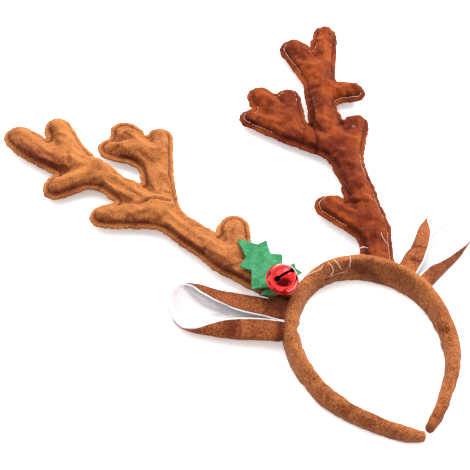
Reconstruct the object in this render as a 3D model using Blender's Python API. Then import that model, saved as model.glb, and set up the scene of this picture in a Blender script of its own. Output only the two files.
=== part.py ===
# Reindeer antler headband, lying on its back edge with its front up and its crown towards +Y.
# A padded velvet band carries two stuffed antlers, two folded ears, and two holly leaves under a bell.
# Tables and functions are in millimetres from the middle of the band's hoop. A mesh is in metres.

import math
from collections import namedtuple

import bmesh
import bpy
import numpy as np
from mathutils import Vector, geometry

MM = 0.001
HOOP_X = 34.616  # the hoop's middle, measured from the middle of the whole object
HOOP_Y = -113.194
CUTTER_GAP = 0.35  # clear space left where an antler or an ear is cut to fit the band
CUTTER_INWARD = 14.0  # how far the cutter reaches into the hoop, so nothing is left on that side

# The band: a padded strip bent round the head, widest at the crown
BAND_THICK = 11.5
BAND_SQUARENESS = 2.5
BAND_SIDES = 14
BAND_STATIONS = 54
BAND_END_SCALE = (0.62, 0.93)  # size of the last sections at each end, which round it off
HALF_DEGREE = 0.5
BAND_LEFT_END = -180.4  # degrees round from the crown
BAND_RIGHT_END = 175.2
BandRow = namedtuple("BandRow", "angle radius width")
BAND = [
    BandRow(0, 60.5, 29.8),
    BandRow(25, 60.1, 29.3),
    BandRow(50, 60.1, 28.0),
    BandRow(75, 62.2, 25.9),
    BandRow(100, 63.5, 23.4),
    BandRow(125, 68.8, 20.6),
    BandRow(150, 75.8, 17.4),
    BandRow(165, 83.9, 15.3),
    BandRow(180, 95.5, 13.6),
]

# The antlers: each tine is a tapering, bowed strip with a round end, all sewn as one outline
Tine = namedtuple("Tine", "name root_x root_y root_r tip_x tip_y tip_r bow")
LEFT_ANTLER = [
    Tine("beam_foot", -43.5, 53, 12.5, -78.3, 101.1, 15, 1),
    Tine("beam_low", -78.3, 101.1, 15, -96.3, 136.1, 14.3, 0),
    Tine("beam_mid", -96.3, 136.1, 14.3, -113.3, 168.1, 14.5, 0),
    Tine("beam_high", -111.3, 166.1, 14, -143.3, 213.1, 12.8, 0),
    Tine("beam_top", -143.3, 213.1, 12.8, -162.3, 239.1, 15, 0),
    Tine("brow", -67.3, 93.1, 13, -58.8, 130.1, 14, 2),
    Tine("finger", -115.3, 164.1, 15.5, -158.3, 176.1, 12, 0),
    Tine("outer_lobe", -149.3, 222.1, 14, -185.3, 216.1, 12, 0),
    Tine("end_lobe_mid", -165.3, 239.1, 14, -196.3, 278.6, 14.5, 4),
    Tine("end_lobe_inner", -159.3, 239.1, 14.5, -161.3, 280.1, 12, 0),
    Tine("branch", -107.3, 159.1, 11.5, -96.3, 215.1, 15, 0),
    Tine("branch_lobe_a", -94.3, 213.1, 13, -80.3, 241.6, 11.3, 0),
    Tine("branch_lobe_b", -99.3, 221.1, 13.5, -108.3, 256.6, 13.8, 0),
    Tine("branch_lobe_c", -101.3, 223.1, 13, -126.3, 244.1, 11, 0),
]
RIGHT_ANTLER = [
    Tine("beam_foot", 38.5, 54, 14, 52.7, 91.1, 15.5, 0),
    Tine("beam_low", 52.7, 91.1, 15.5, 61.7, 136.1, 14, 0),
    Tine("beam_mid", 61.7, 136.1, 14, 65.7, 171.1, 16, 0),
    Tine("beam_high", 65.7, 173.1, 15.5, 67.2, 211.1, 14, 0),
    Tine("beam_top", 67.2, 211.1, 14, 80.7, 253.1, 13, 0),
    Tine("brow", 44.7, 91.1, 12.5, 27.7, 124.1, 14, 0),
    Tine("finger", 69.7, 169.1, 12.5, 94.7, 201.1, 11.5, 0),
    Tine("outer_lobe", 80.7, 245.1, 14, 108.7, 238.1, 12.5, 0),
    Tine("end_lobe_inner", 82.7, 253.1, 14, 78.7, 302.1, 15, 0),
    Tine("end_lobe_mid", 87.7, 259.1, 12, 116.5, 313.1, 12.4, 0),
    Tine("branch", 60.7, 181.1, 13.5, 30.7, 211.1, 14, 0),
    Tine("branch_lobe_a", 30.7, 212.1, 13.5, 3.7, 237.1, 11, 0),
    Tine("branch_lobe_b", 32.7, 215.1, 13, 23.7, 257.6, 13.8, 0),
    Tine("branch_lobe_c", 36.7, 217.1, 11.5, 47.7, 251.1, 10.5, 0),
]
DISC_STEP = 2.0  # spacing of the discs that stand for a tine
CROTCH_SOFTNESS = 1.6  # how far the cloth rounds off where two tines meet
SEAM_INSET = 4.6  # flat seam allowance outside the stitching
SEAM_HALF = 1.2  # half the thickness of its two layers
PAD_HALF = 10.2  # half the thickness of the stuffed part
PAD_RISE = 7.6  # distance from the stitching to full thickness
SHOULDER_STEP = 1.6  # from the stitching to the ring of points that rounds the swell's foot
RIM_SPACING = 7.0
GRID_SPACING = 8.5
GRID_ROW_SHARE = 0.87  # rows of a triangular grid are this share of its spacing apart
GRID_CLEARANCE = 4.2  # least distance of the grid from the stitching
WALK_FIXES = 5  # corrections at each step of the walk round an outline
WALK_PROBE = 0.05  # distance over which the walk measures a slope
WALK_LEAST_SLOPE = 0.2  # squared, so that a correction never overshoots
WALK_CLOSE = 0.75  # share of a step within which it has come round to its start
WALK_LEAST = 12  # steps before it can have come round
WALK_LIMIT = 600  # steps after which it gives up
FOOT_HEIGHT = 12.2  # the middle plane of an antler at the band
REST_HEIGHT = 10.1  # and where it lies on the surface
FOOT_Y = 55.0
REST_Y = 135.0

# The ears: folded leaves, each row one cross-section along the ear's axis
EarRow = namedtuple("EarRow", "along middle half_width centre_z half_height opening turn")
LEFT_EAR = [
    EarRow(-12, -5.6, 14.2, 13.4, 8.0, 2, -14),
    EarRow(0, -5.0, 16.4, 12.9, 8.0, 2, -12),
    EarRow(10, -3.9, 19.0, 12.4, 8.0, 3, -10),
    EarRow(25, -3.6, 20.6, 11.6, 7.8, 7, -7),
    EarRow(42, -3.0, 21.5, 10.6, 7.6, 16, -6),
    EarRow(55, -1.3, 21.9, 9.6, 7.4, 32, -8),
    EarRow(66, 0.7, 22.8, 9.0, 7.2, 51, -13),
    EarRow(76, 2.4, 21.5, 8.8, 7.0, 81, -10),
    EarRow(84, 5.4, 18.8, 8.6, 6.8, 113, -6),
    EarRow(90, 7.5, 14.3, 8.4, 6.6, 162, 1),
]
RIGHT_EAR = [
    EarRow(-12, -3.6, 15.6, 14.0, 8.0, 4, -8),
    EarRow(10, -2.4, 17.3, 13.4, 8.0, 12, -10),
    EarRow(20, -2.3, 17.9, 12.6, 7.8, 23, -12),
    EarRow(33, -1.5, 19.9, 11.0, 7.6, 33, -13),
    EarRow(47, 0.3, 21.6, 9.8, 7.4, 47, -12),
    EarRow(59, 1.0, 21.5, 9.0, 7.2, 75, -2),
    EarRow(70, 1.7, 20.1, 8.8, 7.0, 109, 2),
    EarRow(80, 2.3, 19.1, 8.8, 6.8, 135, -1),
    EarRow(90.9, 2.5, 17.4, 8.6, 6.6, 167, -6),
]
LEFT_EAR_BASE = (-60.0, 36.0)
LEFT_EAR_AXIS = (-0.885, 0.465)
RIGHT_EAR_BASE = (62.5, 38.0)
RIGHT_EAR_AXIS = (0.870, 0.492)
EAR_VELVET = 1.5
EAR_LINING = 1.2
LINING_GAP = 0.9  # between the lining and the velvet, whose facets lie unevenly
EAR_STATIONS = 18  # cross-sections along an ear
LINING_SKIPS = 2  # of them before the lining starts
EAR_ARC_STEPS = 13

# The holly leaves, as corners of a cut felt star
FELT = 1.6
LARGE_LEAF_Z = 25.3  # underside at the corner nearest the band
LARGE_LEAF_FALL = 0.055  # how much it drops for each millimetre towards +Y
LARGE_LEAF = [(-66.5, 110.6), (-53.3, 99.3), (-44.6, 101.0), (-47.1, 87.6), (-38.6, 83.4),
              (-43.0, 73.0), (-47.5, 62.0), (-55.0, 54.5), (-64.0, 60.5), (-74.6, 62.9),
              (-68.9, 77.2), (-76.0, 84.1), (-67.4, 91.2)]
SMALL_LEAF_Z = 22.8
SMALL_LEAF_FALL = 0.008
SMALL_LEAF = [(-68.5, 56.8), (-59.0, 62.0), (-55.0, 69.0), (-44.0, 70.0), (-36.0, 72.6),
              (-32.0, 73.4), (-33.4, 67.6), (-30.4, 62.4), (-37.0, 60.2), (-44.0, 55.0),
              (-50.5, 50.5), (-58.5, 52.2)]
LEAF_CREST_Y = 60.0  # where the heights above are measured

# The bell: a thin hollow sphere, slotted in front, with a crimped rim
BELL_AT = (-55.1, 52.8, 39.9)
BELL_RADIUS = 12.2
BELL_WALL = 0.9
BELL_AXIS = (-0.026, -0.199, 0.980)
BELL_SLOT_ALONG = (0.978, 0.198, 0.066)
RIM_STANDS_OUT = 0.9
RIM_HALF_HEIGHT = 0.9
RIM_FLAT = 0.6  # share of its height that is straight
RIM_CLEARANCE = 1.2  # share of its height that the sphere's own sections keep from its middle
SLOT_HALF_LENGTH = 7.2
SLOT_WIDTH = 1.7
SLOT_HOLE_RADIUS = 1.9
SLOT_HOLE_STEPS = 9
SLOT_REACH = (4.0, 15.2)  # from inside the hollow to outside the bell, along its axis
BELL_POLE = 86  # degrees up to its first and last sections, which are closed flat
BELL_SEGMENTS = 24
BELL_ROWS = 12
HOLLOW_SEGMENTS = 20
HOLLOW_ROWS = 10

# Finishes: colour, roughness and metallic value
ANTLER_LEFT_VELVET = ((0.42, 0.145, 0.045), 0.85, 0.0)
ANTLER_RIGHT_VELVET = ((0.27, 0.055, 0.020), 0.85, 0.0)
BAND_VELVET = ((0.40, 0.140, 0.055), 0.85, 0.0)
EAR_BROWN = ((0.36, 0.115, 0.040), 0.85, 0.0)
EAR_WHITE = ((0.93, 0.88, 0.88), 0.80, 0.0)
HOLLY_GREEN = ((0.055, 0.42, 0.17), 0.90, 0.0)
BELL_RED = ((0.75, 0.03, 0.04), 0.18, 1.0)
SMOOTH_BELOW = 40  # degrees between facets that are shaded as one surface


def clear_scene():
    for thing in list(bpy.data.objects):
        bpy.data.objects.remove(thing)


def make_material(name, finish):
    colour, roughness, metallic = finish
    material = bpy.data.materials.new(name)
    material.use_nodes = True
    shader = material.node_tree.nodes["Principled BSDF"]
    shader.inputs["Base Color"].default_value = (*colour, 1.0)
    shader.inputs["Roughness"].default_value = roughness
    shader.inputs["Metallic"].default_value = metallic
    return material


def add_object(name, bm, finish=None):
    """Turns a bmesh in metres into an object, which stands on the hoop's middle."""
    bmesh.ops.recalc_face_normals(bm, faces=bm.faces)
    mesh = bpy.data.meshes.new(name)
    bm.to_mesh(mesh)
    bm.free()
    piece = bpy.data.objects.new(name, mesh)
    bpy.context.scene.collection.objects.link(piece)
    piece.parent = bpy.data.objects["hoop_middle"]
    if finish:
        mesh.materials.append(make_material(name, finish))
        mesh.shade_smooth()
        mesh.set_sharp_from_angle(angle=math.radians(SMOOTH_BELOW))
    return piece


def cut(piece, cutter):
    """Takes the cutter out of the piece and keeps the cutter out of the model."""
    modifier = piece.modifiers.new("cut_" + cutter.name, "BOOLEAN")
    modifier.operation = "DIFFERENCE"
    modifier.solver = "EXACT"
    modifier.object = cutter
    cutter.hide_render = True
    cutter.display_type = "WIRE"


def loft(rings):
    """A closed skin through rings of points in millimetres, with a flat face on each end."""
    bm = bmesh.new()
    loops = [[bm.verts.new(Vector(point) * MM) for point in ring] for ring in rings]
    for near, far in zip(loops, loops[1:]):
        for i in range(len(near)):
            j = (i + 1) % len(near)
            bm.faces.new((near[i], near[j], far[j], far[i]))
    bm.faces.new(loops[0][::-1])
    bm.faces.new(loops[-1])
    return bm


def smooth_read(rows, at):
    """Reads every column of a table at one value of its first column, along a smooth curve."""
    table = np.array(rows, dtype=float)
    keys = table[:, 0]
    slopes = np.gradient(table, keys, axis=0)
    i = int(np.clip(np.searchsorted(keys, at) - 1, 0, len(keys) - 2))
    span = keys[i + 1] - keys[i]
    t = (at - keys[i]) / span
    start = (1 + 2 * t) * (1 - t) ** 2 * table[i] + t * (1 - t) ** 2 * span * slopes[i]
    end = t * t * (3 - 2 * t) * table[i + 1] + t * t * (t - 1) * span * slopes[i + 1]
    return start + end


def band_centre(angle):
    radius = smooth_read(BAND, abs(angle))[1]
    turn = math.radians(angle)
    return np.array([radius * math.sin(turn), radius * math.cos(turn)])


def band_rings(grow, inward=0.0):
    """Cross-sections of the band: rounded oblongs that stand on the surface, slimmer at each end."""
    rings = []
    angles = np.linspace(BAND_LEFT_END, BAND_RIGHT_END, BAND_STATIONS)
    for place, angle in enumerate(angles):
        ahead = band_centre(angle + HALF_DEGREE) - band_centre(angle - HALF_DEGREE)
        outward = np.array([-ahead[1], ahead[0]]) / np.hypot(*ahead)
        width = smooth_read(BAND, abs(angle))[2]
        from_end = min(place, BAND_STATIONS - 1 - place)
        end_scale = BAND_END_SCALE[from_end] if from_end < len(BAND_END_SCALE) else 1.0
        half_thick = BAND_THICK / 2 * end_scale + grow
        half_width = width / 2 * end_scale + grow
        ring = []
        for side in range(BAND_SIDES):
            turn = 2 * math.pi * (side + 0.5) / BAND_SIDES + math.pi / 2
            across = math.copysign(abs(math.cos(turn)) ** (2 / BAND_SQUARENESS), math.cos(turn))
            up = math.copysign(abs(math.sin(turn)) ** (2 / BAND_SQUARENESS), math.sin(turn))
            reach = half_thick if across > 0 else half_thick + inward
            spot = band_centre(angle) + outward * across * reach
            ring.append((spot[0], spot[1], width / 2 * band_flat() + up * half_width))
        rings.append(ring)
    return rings


def band_flat():
    """How far up the section's lowest corners lie, as a share of its half width."""
    return math.sin(math.pi / 2 - math.pi / BAND_SIDES) ** (2 / BAND_SQUARENESS)


def make_band():
    return add_object("headband", loft(band_rings(0)), BAND_VELVET)


def make_band_cutter():
    return add_object("band_cutter", loft(band_rings(CUTTER_GAP, CUTTER_INWARD)))


def tine_discs(tine):
    """Centres and radii of the discs along a tine."""
    root = np.array([tine.root_x, tine.root_y], dtype=float)
    tip = np.array([tine.tip_x, tine.tip_y], dtype=float)
    length = np.hypot(*(tip - root))
    sideways = np.array([root[1] - tip[1], tip[0] - root[0]]) / length
    t = np.linspace(0, 1, int(length / DISC_STEP) + 2)[:, None]
    centres = root + (tip - root) * t + sideways * tine.bow * 4 * t * (1 - t)
    return centres, tine.root_r + (tine.tip_r - tine.root_r) * t[:, 0]


def antler_depth(tines):
    """A function that says how deep inside the antler's outline a point lies."""
    discs = [tine_discs(tine) for tine in tines]

    def depth(point):
        inside = [np.max(radii - np.hypot(*(centres - point).T)) for centres, radii in discs]
        return CROTCH_SOFTNESS * np.log(np.sum(np.exp(np.array(inside) / CROTCH_SOFTNESS)))

    return depth


def trace_outline(depth, level, start, spacing):
    """Walks once round the curve where the depth has this value."""
    here = np.array(start, dtype=float)
    path = []
    step_x = np.array([WALK_PROBE, 0])
    step_y = np.array([0, WALK_PROBE])
    while len(path) < WALK_LEAST or np.hypot(*(here - path[0])) > spacing * WALK_CLOSE:
        for _ in range(WALK_FIXES):
            slope = np.array([depth(here + step_x) - depth(here - step_x),
                              depth(here + step_y) - depth(here - step_y)]) / (2 * WALK_PROBE)
            here = here + slope * (level - depth(here)) / max(slope @ slope, WALK_LEAST_SLOPE)
        path.append(here)
        along = np.array([slope[1], -slope[0]]) / np.hypot(*slope)
        here = here + along * spacing
        if len(path) > WALK_LIMIT:
            break
    return path


def pad_height(level):
    """Half the antler's thickness at a depth inside its outline: flat seam, then a round swell."""
    inside = np.clip((level - SEAM_INSET) / PAD_RISE, 0, 1)
    return SEAM_HALF + (PAD_HALF - SEAM_HALF) * math.sqrt(1 - (1 - inside) ** 2)


def middle_height(y):
    return float(np.interp(y, [FOOT_Y, REST_Y], [FOOT_HEIGHT, REST_HEIGHT]))


def antler_points(depth, start):
    """The cut edge, the seam, the shoulder of the swell, and a staggered grid inside them."""
    edge = trace_outline(depth, 0.0, start, RIM_SPACING)
    seam = trace_outline(depth, SEAM_INSET, start, RIM_SPACING)
    shoulder = trace_outline(depth, SEAM_INSET + SHOULDER_STEP, start, RIM_SPACING)
    low = np.min(edge, axis=0)
    high = np.max(edge, axis=0)
    grid = []
    for row in range(int((high[1] - low[1]) / (GRID_SPACING * GRID_ROW_SHARE)) + 1):
        for column in range(int((high[0] - low[0]) / GRID_SPACING) + 1):
            spot = low + GRID_SPACING * np.array([column + 0.5 * (row % 2), row * GRID_ROW_SHARE])
            if depth(spot) > SEAM_INSET + GRID_CLEARANCE:
                grid.append(spot)
    return edge, seam, shoulder, grid


def make_antler(name, tines, finish):
    """Two cloth faces sewn along a seam and stuffed, from one flat triangulated outline."""
    depth = antler_depth(tines)
    foot = tines[0]
    edge, seam, shoulder, grid = antler_points(depth, (foot.root_x, foot.root_y - foot.root_r))
    flat = [Vector(point) for point in edge + seam + shoulder + grid]
    rim = list(range(len(edge)))
    stitched = [len(edge) + i for i in range(len(seam))]
    seam_edges = list(zip(stitched, stitched[1:] + stitched[:1]))
    points, _, faces = geometry.delaunay_2d_cdt(flat, seam_edges, [rim], 1, 1e-5)[:3]
    levels = [depth(np.array(point)) for point in points]
    levels = [0.0 if i < len(edge) else level for i, level in enumerate(levels)]
    bm = bmesh.new()
    top, bottom = [], []
    for point, level in zip(points, levels):
        middle = middle_height(point.y)
        high = middle + pad_height(level)
        low = max(middle - pad_height(level), 0.0)
        top.append(bm.verts.new(Vector((point.x, point.y, high)) * MM))
        bottom.append(bm.verts.new(Vector((point.x, point.y, low)) * MM))
    for face in faces:
        bm.faces.new([top[i] for i in face])
        bm.faces.new([bottom[i] for i in reversed(face)])
    open_edges = [e for e in bm.edges if e.is_boundary and e.verts[0] in set(top)]
    partner = dict(zip(top, bottom))
    for e in open_edges:
        first, second = e.verts
        bm.faces.new((second, first, partner[first], partner[second]))
    return add_object(name, bm, finish)


def ear_ring(row, base, axis, wall, inset):
    """One C-shaped section of an ear: its outer face, then its inner face back again."""
    _, middle, half_width, centre_z, half_height, opening, slit_turn = row
    across = (axis[1] * np.sign(-axis[0]), abs(axis[0]))
    ring = []
    for depth, turns in ((inset, 1), (inset + wall, -1)):
        steps = np.linspace(opening, 360 - opening, EAR_ARC_STEPS)[::turns]
        for degrees in steps:
            angle = math.radians(degrees + slit_turn)
            q = middle + (half_width - depth) * math.sin(angle)
            ring.append((base[0] + axis[0] * row[0] + across[0] * q,
                         base[1] + axis[1] * row[0] + across[1] * q,
                         centre_z + (half_height - depth) * math.cos(angle)))
    return ring


def make_ear_layer(name, rows, base, axis, wall, inset, finish):
    """One layer of a folded ear. Both layers share their sections, so they stay a gap apart."""
    stations = np.linspace(rows[0].along, rows[-1].along, EAR_STATIONS)
    if inset > 0:
        stations = stations[LINING_SKIPS:]
    rings = [ear_ring(smooth_read(rows, at), base, axis, wall, inset) for at in stations]
    return add_object(name, loft(rings), finish)


def make_ear(side, rows, base, axis):
    """The brown outside of an ear, which is returned, and its white lining."""
    inset = EAR_VELVET + LINING_GAP
    make_ear_layer(f"ear_{side}_lining", rows, base, axis, EAR_LINING, inset, EAR_WHITE)
    return make_ear_layer(f"ear_{side}_outer", rows, base, axis, EAR_VELVET, 0.0, EAR_BROWN)


def make_leaf(name, corners, height, fall):
    """A flat felt leaf that leans a little with what it lies on."""
    bm = bmesh.new()
    for lift in (0.0, FELT):
        for x, y in corners:
            bm.verts.new(Vector((x, y, height + lift - fall * (y - LEAF_CREST_Y))) * MM)
    bm.verts.ensure_lookup_table()
    count = len(corners)
    bm.faces.new([bm.verts[i] for i in range(count)])
    bm.faces.new([bm.verts[count + i] for i in reversed(range(count))])
    for i in range(count):
        j = (i + 1) % count
        bm.faces.new((bm.verts[i], bm.verts[j], bm.verts[count + j], bm.verts[count + i]))
    return add_object(name, bm, HOLLY_GREEN)


def bell_turn():
    """The rotation that lays the bell's own Z on its axis and its own X along the slot."""
    up = Vector(BELL_AXIS).normalized()
    along = (Vector(BELL_SLOT_ALONG) - up * up.dot(Vector(BELL_SLOT_ALONG))).normalized()
    side = up.cross(along)
    return np.array([along, side, up]).T


def turned_shape(profile, segments):
    """Spins a profile of radii and heights about the bell's axis."""
    turn = bell_turn()
    centre = np.array(BELL_AT)
    rings = []
    for radius, height in profile:
        ring = []
        for i in range(segments):
            angle = 2 * math.pi * i / segments
            local = np.array([radius * math.cos(angle), radius * math.sin(angle), height])
            ring.append(tuple(centre + turn @ local))
        rings.append(ring)
    return loft(rings)


def sphere_profile(radius, rows):
    angles = np.radians(np.linspace(-BELL_POLE, BELL_POLE, rows))
    return [(radius * math.cos(angle), radius * math.sin(angle)) for angle in angles]


def make_bell():
    """A hollow sphere with a raised rim round its middle and a slot through its front."""
    profile = sphere_profile(BELL_RADIUS, BELL_ROWS)
    lower = [row for row in profile if row[1] < -RIM_HALF_HEIGHT * RIM_CLEARANCE]
    upper = [row for row in profile if row[1] > RIM_HALF_HEIGHT * RIM_CLEARANCE]
    rim_radius = BELL_RADIUS + RIM_STANDS_OUT
    rim = [(BELL_RADIUS, -RIM_HALF_HEIGHT), (rim_radius, -RIM_HALF_HEIGHT * RIM_FLAT),
           (rim_radius, RIM_HALF_HEIGHT * RIM_FLAT), (BELL_RADIUS, RIM_HALF_HEIGHT)]
    bell = add_object("bell", turned_shape(lower + rim + upper, BELL_SEGMENTS), BELL_RED)
    hollow = turned_shape(sphere_profile(BELL_RADIUS - BELL_WALL, HOLLOW_ROWS), HOLLOW_SEGMENTS)
    cut(bell, add_object("bell_hollow", hollow))
    cut(bell, make_slot_cutter())


def make_slot_cutter():
    """A straight slot with a round hole at each end, cut through the front of the bell."""
    outline = []
    for side in (1, -1):
        first = math.asin(SLOT_WIDTH / 2 / SLOT_HOLE_RADIUS)
        for step in np.linspace(-math.pi + first, math.pi - first, SLOT_HOLE_STEPS):
            outline.append((side * (SLOT_HALF_LENGTH + SLOT_HOLE_RADIUS * math.cos(step)),
                            side * SLOT_HOLE_RADIUS * math.sin(step)))
    turn = bell_turn()
    centre = np.array(BELL_AT)
    rings = []
    for height in SLOT_REACH:
        rings.append([tuple(centre + turn @ np.array([x, y, height])) for x, y in outline])
    return add_object("bell_slot", loft(rings))


def build():
    clear_scene()
    middle = bpy.data.objects.new("hoop_middle", None)
    bpy.context.scene.collection.objects.link(middle)
    middle.location = (HOOP_X * MM, HOOP_Y * MM, 0)

    make_band()
    around_band = make_band_cutter()
    fitted = [
        make_antler("antler_left", LEFT_ANTLER, ANTLER_LEFT_VELVET),
        make_antler("antler_right", RIGHT_ANTLER, ANTLER_RIGHT_VELVET),
        make_ear("left", LEFT_EAR, LEFT_EAR_BASE, LEFT_EAR_AXIS),
        make_ear("right", RIGHT_EAR, RIGHT_EAR_BASE, RIGHT_EAR_AXIS),
    ]
    for piece in fitted:
        cut(piece, around_band)
    make_leaf("holly_leaf_large", LARGE_LEAF, LARGE_LEAF_Z, LARGE_LEAF_FALL)
    make_leaf("holly_leaf_small", SMALL_LEAF, SMALL_LEAF_Z, SMALL_LEAF_FALL)
    make_bell()


build()
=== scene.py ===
import math
import random

import bmesh
import bpy
import numpy as np
from mathutils import Matrix, Vector, noise
from mathutils.bvhtree import BVHTree
from mathutils.kdtree import KDTree


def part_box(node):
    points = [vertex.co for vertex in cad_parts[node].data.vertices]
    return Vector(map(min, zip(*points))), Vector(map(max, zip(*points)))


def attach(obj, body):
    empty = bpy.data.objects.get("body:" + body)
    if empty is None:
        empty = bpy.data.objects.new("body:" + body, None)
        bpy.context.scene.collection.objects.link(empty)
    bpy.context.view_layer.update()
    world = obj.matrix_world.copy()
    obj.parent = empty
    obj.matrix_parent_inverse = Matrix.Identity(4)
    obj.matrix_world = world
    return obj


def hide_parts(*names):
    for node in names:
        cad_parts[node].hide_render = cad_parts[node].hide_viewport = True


# Reindeer antler headband, lying on its back edge. Places in its tables are in millimetres from the
# hoop's middle.
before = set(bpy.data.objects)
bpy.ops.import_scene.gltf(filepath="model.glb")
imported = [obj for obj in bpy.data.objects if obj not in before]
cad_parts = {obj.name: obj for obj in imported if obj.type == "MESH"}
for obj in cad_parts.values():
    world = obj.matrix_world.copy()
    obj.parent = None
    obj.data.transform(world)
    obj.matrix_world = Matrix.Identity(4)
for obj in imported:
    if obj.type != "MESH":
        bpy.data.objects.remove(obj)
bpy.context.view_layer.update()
mm = 0.001

studio = {
    "cameraFromHoop": (-0.3802, -0.3824, 0.8056),
    "forward": (0.32048, 0.50818, -0.79940),
    "right": (0.91023, -0.39884, 0.11136),
    "up": (0.26224, 0.76333, 0.59038),
    "lensMm": 91.85,
    "sensorMm": 36.0,
    "floorSize": 8.0,
    "floorColour": (0.97, 0.97, 0.97),
    "floorGlow": 0.4,
    "worldLight": (1.0, 0.99, 0.98),
    "worldDark": (0.13, 0.12, 0.12),
    "darkTowards": (-0.28, -0.94, 0.18),
    "darkFrom": 0.40,
    "darkTo": 0.70,
    "worldStrength": 1.5,
    "lamps": {
        "keyLight": {"place": (0.75, 0.55, 1.0), "size": 1.1, "watts": 26.0},
        "fillLight": {"place": (-0.3, 0.6, 1.2), "size": 1.4, "watts": 12.0},
        "glintLight": {"place": (0.51, -1.36, 0.40), "size": 0.10, "watts": 0.5},
    },
}

bandLow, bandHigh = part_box("headband")
bandOuterRadius = 0.0662  # from the hoop's middle to the crown's outer face
hoop = Vector(((bandLow.x + bandHigh.x) / 2, bandHigh.y - bandOuterRadius, 0.0))


# A place given in millimetres from the hoop's middle
def fromHoop(x, y, z=0.0):
    return hoop + Vector((x, y, z)) * mm


def addPiece(name, mesh):
    piece = bpy.data.objects.new(name, mesh)
    bpy.context.scene.collection.objects.link(piece)
    return piece


def pieceFromBmesh(name, bm, smooth=True):
    mesh = bpy.data.meshes.new(name)
    bm.to_mesh(mesh)
    bm.free()
    if smooth:
        mesh.shade_smooth()
    return addPiece(name, mesh)


# Bakes the piece's modifiers into its mesh
def applyModifiers(piece):
    depsgraph = bpy.context.evaluated_depsgraph_get()
    mesh = bpy.data.meshes.new_from_object(piece.evaluated_get(depsgraph))
    old = piece.data
    piece.modifiers.clear()
    piece.data = mesh
    bpy.data.meshes.remove(old)
    mesh.shade_smooth()


def readPoints(mesh):
    points = np.zeros(len(mesh.vertices) * 3)
    mesh.vertices.foreach_get("co", points)
    return points.reshape(-1, 3)


def writePoints(mesh, points):
    mesh.vertices.foreach_set("co", np.asarray(points, dtype=float).ravel())
    mesh.update()


def readNormals(mesh):
    normals = np.zeros(len(mesh.vertices) * 3)
    mesh.vertices.foreach_get("normal", normals)
    return normals.reshape(-1, 3)


# Keeps one number for each vertex, which a material reads by this name
def storeMask(mesh, name, values):
    layer = mesh.attributes.new(name, "FLOAT", "POINT")
    layer.data.foreach_set("value", np.asarray(values, dtype=np.float32))


# A copy of a CAD node with its loose triangles joined
def mergedCopy(name, node):
    bm = bmesh.new()
    bm.from_mesh(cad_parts[node].data)
    bmesh.ops.remove_doubles(bm, verts=bm.verts, dist=1e-6)
    return pieceFromBmesh(name, bm)


# Smooth noise from -1 to 1 at each point, with bumps of about this size
def waves(points, size, seed, octaves=2):
    shift = Vector((seed * 7.31, seed * 3.77, seed * 1.93))
    return np.array([noise.fractal(Vector(p) / size + shift, 1.0, 2.0, octaves) for p in points])


# Distance of each point from a straight line between two places
def lineDistance(points, start, end):
    start, end = np.array(start, dtype=float), np.array(end, dtype=float)
    along = end - start
    share = np.clip((points - start) @ along / (along @ along), 0, 1)
    return np.linalg.norm(points - start - share[:, None] * along, axis=1)


# The groove along a fold and the shoulders beside it, both from 0 to 1
def foldShape(points, start, end, width):
    near = lineDistance(points, start, end)
    return np.exp(-(near / (width * mm)) ** 2), np.exp(-((near / mm - width * 2) / width) ** 2)


# Sum of soft strokes, each (start, end, radius, strength), over the first coordinates of the points
def paint(points, strokes, size=2):
    total = np.zeros(len(points))
    middle = np.array(hoop)[:size]
    for start, end, radius, strength in strokes:
        near = lineDistance(points[:, :size], middle + np.array(start) * mm, middle + np.array(end) * mm)
        total += strength * np.exp(-(near / (radius * mm)) ** 2)
    return total


def subdivide(piece, levels):
    smooth = piece.modifiers.new("fine", "SUBSURF")
    smooth.levels = levels
    smooth.render_levels = levels
    applyModifiers(piece)


def voxelRemesh(piece, size):
    remesh = piece.modifiers.new("remesh", "REMESH")
    remesh.mode = "VOXEL"
    remesh.voxel_size = size
    applyModifiers(piece)


# Blows the cloth up like a stuffed toy. The held weights pin it, and no point moves past the cap.
def inflate(piece, held, settings):
    before = readPoints(piece.data)
    pins = piece.vertex_groups.new(name="held")
    for weight in (0.25, 0.5, 0.75, 1.0):
        chosen = np.nonzero((held > weight - 0.25) & (held <= weight))[0]
        pins.add([int(i) for i in chosen], weight, "REPLACE")
    cloth = piece.modifiers.new("stuffing", "CLOTH")
    cloth.settings.vertex_group_mass = "held"
    cloth.settings.use_pressure = True
    cloth.settings.uniform_pressure_force = settings["pressure"]
    cloth.settings.shrink_min = settings["spareCloth"]
    cloth.settings.effector_weights.gravity = 0.0
    cloth.settings.quality = 6
    cloth.settings.bending_stiffness = settings["bending"]
    cloth.settings.tension_stiffness = 12.0
    cloth.settings.compression_stiffness = 12.0
    cloth.collision_settings.use_collision = False
    scene = bpy.context.scene
    for number in range(1, settings["frames"] + 1):
        scene.frame_set(number)
    depsgraph = bpy.context.evaluated_depsgraph_get()
    blown = bpy.data.meshes.new_from_object(piece.evaluated_get(depsgraph))
    after = readPoints(blown)
    bpy.data.meshes.remove(blown)
    piece.modifiers.remove(cloth)
    piece.vertex_groups.clear()
    scene.frame_set(1)
    move = after - before
    length = np.linalg.norm(move, axis=1, keepdims=True)
    print(f"  cloth moved {float(length.mean()) / mm:.2f} mm, most {float(length.max()) / mm:.2f} mm")
    writePoints(piece.data, before + move * np.minimum(1.0, settings["capOut"] / np.maximum(length, 1e-9)))


# A long bead of thread, sunk into the cloth at both ends
def addStitch(bm, middle, along, up, length, radius):
    turn = Matrix((along, up.cross(along), up)).transposed().to_4x4()
    shape = Matrix.Diagonal((length / 2, radius, radius, 1))
    bmesh.ops.create_uvsphere(bm, u_segments=6, v_segments=6, radius=1.0,
                              matrix=Matrix.Translation(middle) @ turn @ shape)


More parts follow.
